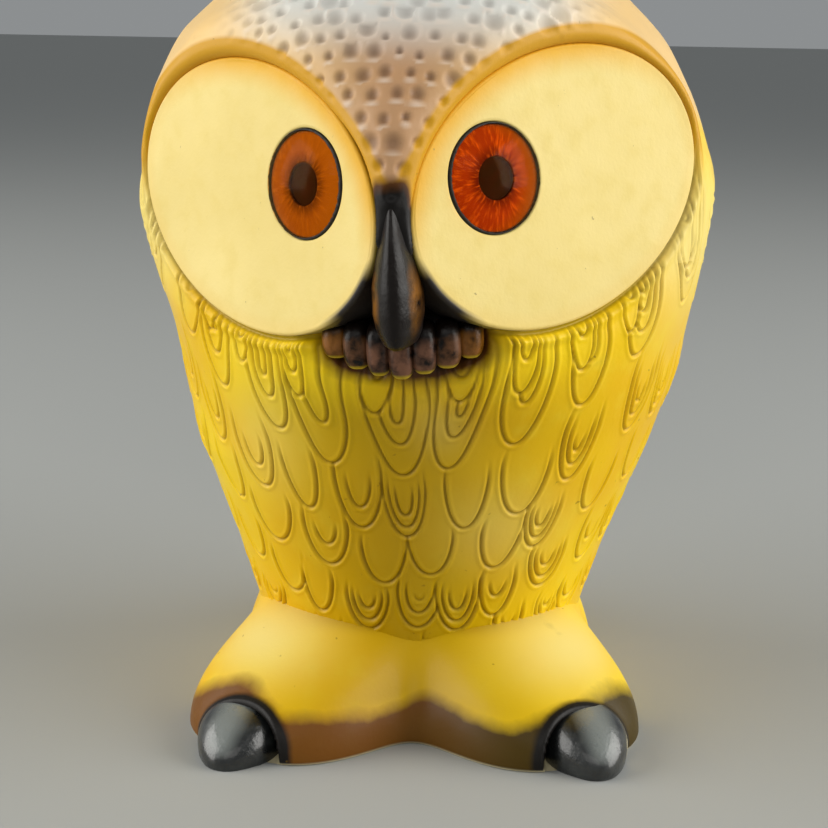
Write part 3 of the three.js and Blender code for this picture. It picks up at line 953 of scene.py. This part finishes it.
def beak_shape(p):
    """A unit ball drawn out along the beak's stations."""
    low, high = BEAK_STATIONS[0, 0], BEAK_STATIONS[-1, 0]
    level = (p[:, 2] + 1) / 2
    z = low + (high - low) * level
    half = np.interp(z, BEAK_STATIONS[:, 0], BEAK_STATIONS[:, 1])
    front = np.interp(z, BEAK_STATIONS[:, 0], BEAK_STATIONS[:, 2])
    ring = np.maximum(np.hypot(p[:, 0], p[:, 1]), 1e-6)
    sine, cosine = p[:, 0] / ring, -p[:, 1] / ring
    x = half * sine
    y = front + BEAK_DEPTH * (1 - np.sign(cosine) * np.abs(cosine) ** 1.25)
    y = np.where(half > 0.01, y, front + BEAK_DEPTH)
    return np.stack([x, y, z], -1)


bm = bmesh.new()
bmesh.ops.create_uvsphere(bm, u_segments=72, v_segments=60, radius=1)
ball = np.array([vert.co for vert in bm.verts])
moved(bm, beak_shape)
bmesh.ops.smooth_vert(bm, verts=bm.verts, factor=0.5, use_axis_x=True, use_axis_y=True, use_axis_z=True)
flank = around(np.abs(ball[:, 0] / np.maximum(np.hypot(ball[:, 0], ball[:, 1]), 1e-6)), 0.78, 0.2)
write_mask(bm, "amber", 0.75 * flank * around(ball[:, 2], -0.4, 0.36))
finish_piece(bm, "beak", face_frame, dark_lacquer)

# %% Beard
TUFT_COUNT = 7
BEARD_BOTTOM, BEARD_TOP = 84.0, 95.5
BEARD_HALF_SPAN, BEARD_FRONT, BEARD_WRAP = 13.4, -62.4, 4.2
bm = bmesh.new()
beard_masks = {name: bm.verts.layers.float.new(name) for name in ("amber", "dust", "yellow")}
for i in range(TUFT_COUNT):
    across = -1 + 2 * i / (TUFT_COUNT - 1)
    bottom = BEARD_BOTTOM + 3.4 * across**2 + rng.uniform(-0.5, 0.5)
    half_height = (BEARD_TOP - bottom) / 2
    half_width = 2.8 + rng.uniform(-0.25, 0.3)
    front = BEARD_FRONT + BEARD_WRAP * across**2
    middle = Vector((across * BEARD_HALF_SPAN - 0.5, front, bottom + half_height))
    for vert in bmesh.ops.create_uvsphere(bm, u_segments=40, v_segments=32, radius=1)["verts"]:
        ball = vert.co.copy()
        full = Vector(math.copysign(abs(c) ** 0.74, c) for c in ball)
        vert.co = (Vector((full.x * half_width, full.y * 4.3, full.z * half_height)) + middle) * MM
        forward = float(smooth(-0.1, 0.7, -ball.y))
        vert[beard_masks["amber"]] = 0.9 * abs(across) ** 2.2 * float(smooth(0.75, -0.1, ball.z))
        vert[beard_masks["dust"]] = forward * float(smooth(0.45, -0.15, ball.z)) * (1 - 0.6 * across**2)
        vert[beard_masks["yellow"]] = float(smooth(-0.6, -0.92, ball.z)) * 0.9 + 0.15 * abs(across) ** 4
finish_piece(bm, "beard", face_frame, dark_lacquer)

# %% [markdown]
# ## Skirt, feet and claws
# The body sits in a low skirt that spreads into two broad feet in front and a short tail behind. Its
# underside is ground flat round the pour hole, and the hole leads up into the dark hollow. In each foot
# a hood opens round a blunt black claw.

# %% Skirt
SKIRT_TOP, SKIRT_WAIST, SKIRT_GROUND = 25.4, 35.3, 42.8
FOOT_DIRECTION, FOOT_REACH = math.radians(32.8), 26.8
OUTER_SPREAD, INNER_SPREAD = math.radians(30), math.radians(26)
TAIL_SPREAD, TAIL_REACH = math.radians(34), 15
HEM_ROUNDING = 1.2
HEM_HEIGHT = 8.7  # how far up the brown of the hem reaches
POUR_HOLE, POUR_HOLE_DEPTH = 22.0, 16
HOLLOW_TOP = 88.0

CLAW = {"across": 36.6, "front": -54.0, "size": (9.2, 12.6, 7.8)}
CLAW_HEIGHTS = {-1: 2.6, 1: 3.6}  # the owl's left claw was set a little higher
HOOD = {"forward": 6.5, "size": (10.6, 9.6, 11.0)}
CLAW_TURN, CLAW_DROOP = math.radians(16), math.radians(10)


def claw_frame(side):
    """A frame on a claw's middle, whose -Y runs out along the claw."""
    place = Matrix.Translation((side * CLAW["across"], CLAW["front"], CLAW_HEIGHTS[side]))
    return place @ Matrix.Rotation(side * CLAW_TURN, 4, "Z") @ Matrix.Rotation(CLAW_DROOP, 4, "X")


def open_hood(points, normals, side):
    """Presses a socket round a claw into the foot, with a raised cuff, and returns its soot mask."""
    q = apply(claw_frame(side).inverted(), points)
    wide, long, tall = HOOD["size"]
    nx, nz = q[..., 0] / wide, q[..., 2] / tall
    ny = (q[..., 1] + HOOD["forward"]) / long
    size = np.sqrt(nx**2 + ny**2 + nz**2)
    hollow = (size < 1) & (points[..., 2] > 0.0)
    back_wall = -HOOD["forward"] + long * np.sqrt(np.clip(1 - nx**2 - nz**2, 0, 1))
    q[..., 1] = np.where(hollow, back_wall, q[..., 1])
    moved_points = apply(claw_frame(side), q)
    moved_points[..., 2] = np.maximum(moved_points[..., 2], np.minimum(points[..., 2], 0))
    cuff = around(size, 1.12, 0.11) * smooth(0.5, 3, points[..., 2])
    soot = 1 - smooth(1.1, 1.4, size)
    return moved_points + normals * (0.8 * cuff)[..., None], soot


def foot_share(angle):
    """1 down the middle of either foot, 0 well away from both."""
    share = np.zeros_like(angle)
    for side, _ in SIDES:
        away = side * angle - FOOT_DIRECTION
        share += np.exp(-np.abs(away / np.where(away > 0, OUTER_SPREAD, INNER_SPREAD)) ** 3)
    return share


def skirt_shape(u, v):
    """Rings from the waist down the skirt, under the hem, to the pour hole and up into the hollow.

    level is the height up the skirt as a share of its whole height.
    """
    angle = 2 * math.pi * u - math.pi
    foot = foot_share(angle)
    tail = np.exp(-(((math.pi - np.abs(angle)) / TAIL_SPREAD) ** 2))
    ground = SKIRT_GROUND + FOOT_REACH * foot + TAIL_REACH * tail
    # v at the waist, the hem's start and end, the pour hole's rim and wall, and the hollow's roof
    stations = [0, 0.66, 0.70, 0.82, 0.90, 1.0]
    level = np.interp(v, stations[:2], [1, HEM_ROUNDING / SKIRT_TOP])
    fullness = 1 - level ** (1.8 + 0.6 * foot)
    radius = SKIRT_WAIST + (ground - SKIRT_WAIST) * fullness
    z = level * SKIRT_TOP
    turn = np.interp(v, stations[1:3], [0, math.pi / 2])
    hem = (v > stations[1]) & (v <= stations[2])
    radius = np.where(hem, radius - HEM_ROUNDING * (1 - np.cos(turn)), radius)
    z = np.where(hem, HEM_ROUNDING * (1 - np.sin(turn)), z)
    under = v > stations[2]
    share = np.clip((v - stations[2]) / (stations[3] - stations[2]), 0, 1)
    radius = np.where(under, (radius - HEM_ROUNDING) * (1 - share) + POUR_HOLE * share, radius)
    z = np.where(under, np.interp(v, stations[3:], [0, POUR_HOLE_DEPTH, HOLLOW_TOP]), z)
    radius = np.where(v > stations[4], POUR_HOLE * (1 - (v - stations[4]) / (1 - stations[4])), radius)
    points = np.stack([radius * np.sin(angle), -radius * np.cos(angle), z], -1)

    normals = np.stack([np.sin(angle), -np.cos(angle), np.full_like(angle, 0.6)], -1)
    normals /= np.linalg.norm(normals, axis=-1, keepdims=True)
    outer = v <= stations[2]
    soot = np.zeros_like(z)
    for side, _ in SIDES:
        pressed, one_soot = open_hood(points, normals, side)
        points = np.where(outer[..., None], pressed, points)
        soot = np.maximum(soot, one_soot * outer)
    front = smooth(0.35, 0.75, np.cos(angle))
    waves = 1.3 * np.sin(9 * angle + 1) + 0.8 * np.sin(17 * angle)
    hem_top = HEM_HEIGHT + waves + 3.0 * around(np.abs(angle), FOOT_DIRECTION, 0.25)
    hem_paint = front * (1 - smooth(hem_top - 4.5, hem_top + 4.5, z)) * outer
    # painted highlight on the tops of the legs
    wear_and_highlight = around(np.abs(angle), FOOT_DIRECTION + 0.16, 0.28) * around(z, 19.5, 5)
    # painted shade: darker down the skirt's middle and in the crease under the belly
    mustard_shade = around(angle, 0, 0.5) * smooth(4, 12, z) + smooth(SKIRT_TOP - 4, SKIRT_TOP, z)
    bare = np.where(outer, smooth(0.75, 0.35, z), 1.0)
    paints = {
        "hem": hem_paint, "soot": soot * (1 - bare), "wear_and_highlight": 0.85 * wear_and_highlight * outer, "bare": bare,
        "mustard_shade": np.clip(mustard_shade, 0, 1) * outer, "darker_to_owls_left": smooth(-0.2, 0.45, angle),
    }
    return points, paints


bm = grid_sheet(620, 150, skirt_shape)
bmesh.ops.remove_doubles(bm, verts=bm.verts, dist=1e-7)
close_to(bm, HEART)
finish_piece(bm, "skirt_and_feet", base_frame, plaster_skin)

# %% Claws
def claw_paint():
    """Black enamel brushed on the claws, with a pale highlight of the overhead light painted on their upper
    faces.
    """
    material, output = new_material("black_enamel")
    mottle = object_noise(material, 5, 4.0)
    grain = object_noise(material, 0.9)
    colour = lay(material, "#161818", "#444846", mottle, 0.5, 0.72, 0.35)
    # painted highlight on the upper faces
    colour = lay(material, colour, "#868C89", mask(material, "sheen"), 0.35, 1.0, 0.75)
    chip_edge = reckon(material, "MULTIPLY", mask(material, "chip"), grain)
    colour = lay(material, colour, "#CABD96", chip_edge, 0.26, 0.34, 0.9)
    roughness = spread(material, mottle, 0.3, 0.7, 0.22, 0.42)
    finish_paint(material, output, colour, roughness, grain, 0.12, coat=0.5, specular=0.5)
    return material


enamel = claw_paint()
CLAW_CLEARANCE = 0.05  # the claws are cut off flat this far over the ground


def claw_shape(ball, side):
    """A unit ball made into a blunt claw, full at the root and tapered towards the tip."""
    full = np.sign(ball) * np.abs(ball) ** np.array([0.86, 1.0, 0.84])
    taper = 1 - 0.3 * np.clip(-ball[:, 1:2], 0, 1) ** 2
    tapered = np.concatenate([taper, np.ones_like(taper), taper], 1)
    points = apply(claw_frame(side), full * np.array(CLAW["size"]) * tapered)
    points[:, 2] = np.maximum(points[:, 2], CLAW_CLEARANCE)
    return points


for side, word in SIDES:
    bm = bmesh.new()
    bmesh.ops.create_uvsphere(bm, u_segments=64, v_segments=44, radius=1)
    ball = np.array([vert.co for vert in bm.verts])
    moved(bm, lambda points: claw_shape(points, side))
    chip = around(ball[:, 0], 0.93, 0.14) * around(ball[:, 2], 0.1, 0.4) * around(ball[:, 1], -0.4, 0.3)
    write_mask(bm, "chip", chip if side > 0 else 0 * chip)
    # where the painted highlight lies: the top of each claw
    write_mask(bm, "sheen", around(ball[:, 0], 0.1 * side, 0.5) * smooth(0.0, 0.7, ball[:, 2]))
    finish_piece(bm, f"claw_{word}", base_frame, enamel)

# %% [markdown]
# ## Eyes
# Each eye is a clear amber glass dome. Behind it a painted iris ring shows, streaked outwards like a real
# one, with a dark button for the pupil. A ring of black cement holds the dome in its socket, and more of
# it shows on the side of the beak. Round pieces are spun from a profile. The glass is a thin shell that
# only tints and shines, because a solid one with true refraction would spread the lamps' light over the
# iris and wash its colours out.

# %% Spun pieces
def spin_profile(profile, steps=96):
    """A bmesh turned about Z from a profile of [radius, height] in mm."""
    bm = bmesh.new()
    verts = [bm.verts.new((r * MM, 0, z * MM)) for r, z in profile]
    edges = [bm.edges.new(pair) for pair in zip(verts, verts[1:])]
    bmesh.ops.spin(
        bm, geom=verts + edges, cent=(0, 0, 0), axis=(0, 0, 1), dvec=(0, 0, 0),
        angle=2 * math.pi, steps=steps, use_merge=True, use_duplicate=False,
    )
    bmesh.ops.remove_doubles(bm, verts=bm.verts, dist=1e-7)
    return bm


GLASS_RADIUS, GLASS_EDGE, GLASS_TOP = 10.45, 0.4, 4.4
GLASS_THICK = 0.8
GLASS_GAP = 0.08  # between the glass and the cement round it
IRIS_RADIUS, IRIS_HOLE, IRIS_THICK = 10.4, 4.3, 0.4
IRIS_EDGE, IRIS_BEND = -0.48, 0.7
PUPIL_RADIUS = 4.4
CEMENT_OUTER, CEMENT_BOTTOM, CEMENT_SEAT = 10.85, -4.7, -1.0
EYE_SHIFT = 0.25  # the glass was pushed a little outwards in its socket


def dome_height(radius):
    """Height of the glass's outer face at a distance from the eye's middle."""
    rise = GLASS_TOP - GLASS_EDGE
    ball = (GLASS_RADIUS**2 + rise**2) / (2 * rise)
    return GLASS_TOP - ball + math.sqrt(ball**2 - radius**2)


def dish_height(radius):
    """Height of the iris's face, which is bent only a little."""
    return IRIS_EDGE + IRIS_BEND * (1 - (radius / IRIS_RADIUS) ** 2)


def shell(outer, inner, height, thickness, drop=0.0, count=20):
    """The profile of a curved shell whose upper face follows height(radius), lowered by drop."""
    radii = [inner + (outer - inner) * i / count for i in range(count + 1)]
    under = [(r, height(r) - drop - thickness) for r in radii]
    over = [(r, height(r) - drop) for r in reversed(radii)]
    return under + over + (under[:1] if inner > 0 else [])


# %% Eye materials
def eye_uv(bm):
    """A UV map of the eye's face, centred on the pupil, one unit for one iris radius."""
    layer = bm.loops.layers.uv.new("face")
    for face in bm.faces:
        for loop in face.loops:
            loop[layer].uv = (loop.vert.co.x / (IRIS_RADIUS * MM), loop.vert.co.y / (IRIS_RADIUS * MM))


def iris_paint(name, inner, middle, outer, streak):
    """Transparent enamels over foil: streaks run outwards from the pupil."""
    material, output = new_material(name)
    face = add_node(material, "ShaderNodeUVMap", {"uv_map": "face"})
    length = add_node(material, "ShaderNodeVectorMath", {"operation": "LENGTH"}, {0: (face, "UV")})
    radius = (length, "Value")
    parts = add_node(material, "ShaderNodeSeparateXYZ", None, {0: (face, "UV")})
    angle = reckon(material, "ARCTAN2", (parts, "Y"), (parts, "X"))
    turned = {"X": reckon(material, "SINE", angle), "Y": reckon(material, "COSINE", angle)}
    turned["Z"] = reckon(material, "MULTIPLY", radius, 0.35)
    ring = add_node(material, "ShaderNodeCombineXYZ", None, turned)
    fine = {"Scale": 11.0, "Detail": 3.0, "Roughness": 0.6}
    streaks = (add_node(material, "ShaderNodeTexNoise", fine, {"Vector": (ring, 0)}), "Fac")
    colour = lay(material, inner, middle, radius, 0.42, 0.66)
    colour = lay(material, colour, streak, streaks, 0.5, 0.72, 0.8)
    sideways = reckon(material, "MULTIPLY_ADD", (parts, "X"), 0.55, radius)
    colour = lay(material, colour, outer, sideways, 0.8, 1.3, 0.9)
    roughness = spread(material, streaks, 0.3, 0.7, 0.3, 0.45)
    finish_paint(material, output, colour, roughness, streaks, 0.2, specular=0.05)
    return material


def glass_paint():
    """A thin shell of clear amber glass: it tints what is under it and takes a soft glint at its edge."""
    material, output = new_material("amber_glass")
    waves = {"Height": object_noise(material, 6, 1.0)}
    bump = add_node(material, "ShaderNodeBump", {"Strength": 0.3, "Distance": 0.1 * MM}, waves)
    normal = {"Normal": (bump, "Normal")}
    tint = add_node(material, "ShaderNodeBsdfTransparent", {"Color": linear("#FFE4B8")})
    polish = {"Color": linear("#FFFFFF"), "Roughness": 0.06}
    glint = add_node(material, "ShaderNodeBsdfAnisotropic", polish, normal)
    edge_on = add_node(material, "ShaderNodeLayerWeight", {"Blend": 0.35}, normal)
    glint_share = spread(material, (edge_on, "Facing"), 0.35, 1.0, 0.003, 0.08)
    layers = {0: glint_share, 1: (tint, "BSDF"), 2: (glint, "BSDF")}
    mixed = add_node(material, "ShaderNodeMixShader", None, layers)
    plug(material, output, "Surface", (mixed, "Shader"))
    return material


def cement_paint():
    """Black setting cement, matt and crumbly."""
    material, output = new_material("black_cement")
    crumbs = object_noise(material, 1.2, 4.0)
    colour = lay(material, "#14110E", "#4A443C", crumbs, 0.5, 0.75, 0.5)
    roughness = spread(material, crumbs, 0.3, 0.7, 0.5, 0.8)
    finish_paint(material, output, colour, roughness, crumbs, 0.3)
    return material


def pupil_paint():
    """Dark brown enamel, a little uneven."""
    material, output = new_material("dark_brown_enamel")
    mottle = object_noise(material, 2.5)
    colour = lay(material, "#1C0A04", "#34140A", mottle, 0.45, 0.75, 0.6)
    roughness = spread(material, mottle, 0.3, 0.7, 0.25, 0.4)
    finish_paint(material, output, colour, roughness, mottle, 0.05, specular=0.05)
    return material


glass = glass_paint()
cement = cement_paint()
pupil_enamel = pupil_paint()
irises = {
    "left": iris_paint("orange_enamel_iris", "#5E1C04", "#A2480A", "#9C6C0E", "#EC8E24"),
    "right": iris_paint("amber_enamel_iris", "#5A3C08", "#9E7212", "#A88014", "#BC9022"),
}

# %% Eye pieces
CEMENT_STEPS = 160


def cement_cup(side):
    """A cup that holds the glass, with its inner wall round the shifted glass and a crumbling rim."""
    wall = GLASS_RADIUS + GLASS_GAP
    cup = [(0, CEMENT_BOTTOM), (CEMENT_OUTER, CEMENT_BOTTOM), (CEMENT_OUTER, -0.2)]
    cup += [(CEMENT_OUTER - 0.05, 0.1), (wall + 0.04, 0.2), (wall, 0.1)]
    cup += [(wall, CEMENT_SEAT), (0, CEMENT_SEAT)]
    bm = spin_profile(cup, CEMENT_STEPS)
    crumble = rng.uniform(-0.12, 0.12, CEMENT_STEPS + 1)
    for vert in bm.verts:
        if math.hypot(vert.co.x, vert.co.y) < (wall + 0.06) * MM and vert.co.z > (CEMENT_SEAT - 0.1) * MM:
            vert.co.x += side * EYE_SHIFT * MM
        if vert.co.z > -0.3 * MM:
            turn = int((math.atan2(vert.co.y, vert.co.x) / (2 * math.pi) + 0.5) * CEMENT_STEPS)
            vert.co.z += crumble[turn] * MM
    return bm


for side, word in SIDES:
    place = face_frame @ eye_frame(side)
    seated = place @ Matrix.Translation((side * EYE_SHIFT, 0, 0))
    bm = spin_profile(shell(GLASS_RADIUS, 0, dome_height, GLASS_THICK))
    finish_piece(bm, f"glass_dome_{word}", seated, glass, (f"eye_glass_{word}",))

    bm = spin_profile(shell(IRIS_RADIUS, IRIS_HOLE, dish_height, IRIS_THICK), 144)
    eye_uv(bm)
    finish_piece(bm, f"streaked_iris_{word}", seated, irises[word], (f"iris_ring_{word}",))

    bm = spin_profile(shell(PUPIL_RADIUS, 0, dish_height, IRIS_THICK, IRIS_THICK + 0.05))
    finish_piece(bm, f"pupil_button_{word}", seated, pupil_enamel, (f"pupil_{word}",))

    finish_piece(cement_cup(side), f"cement_bead_{word}", place, cement, (f"eye_cement_{word}",))
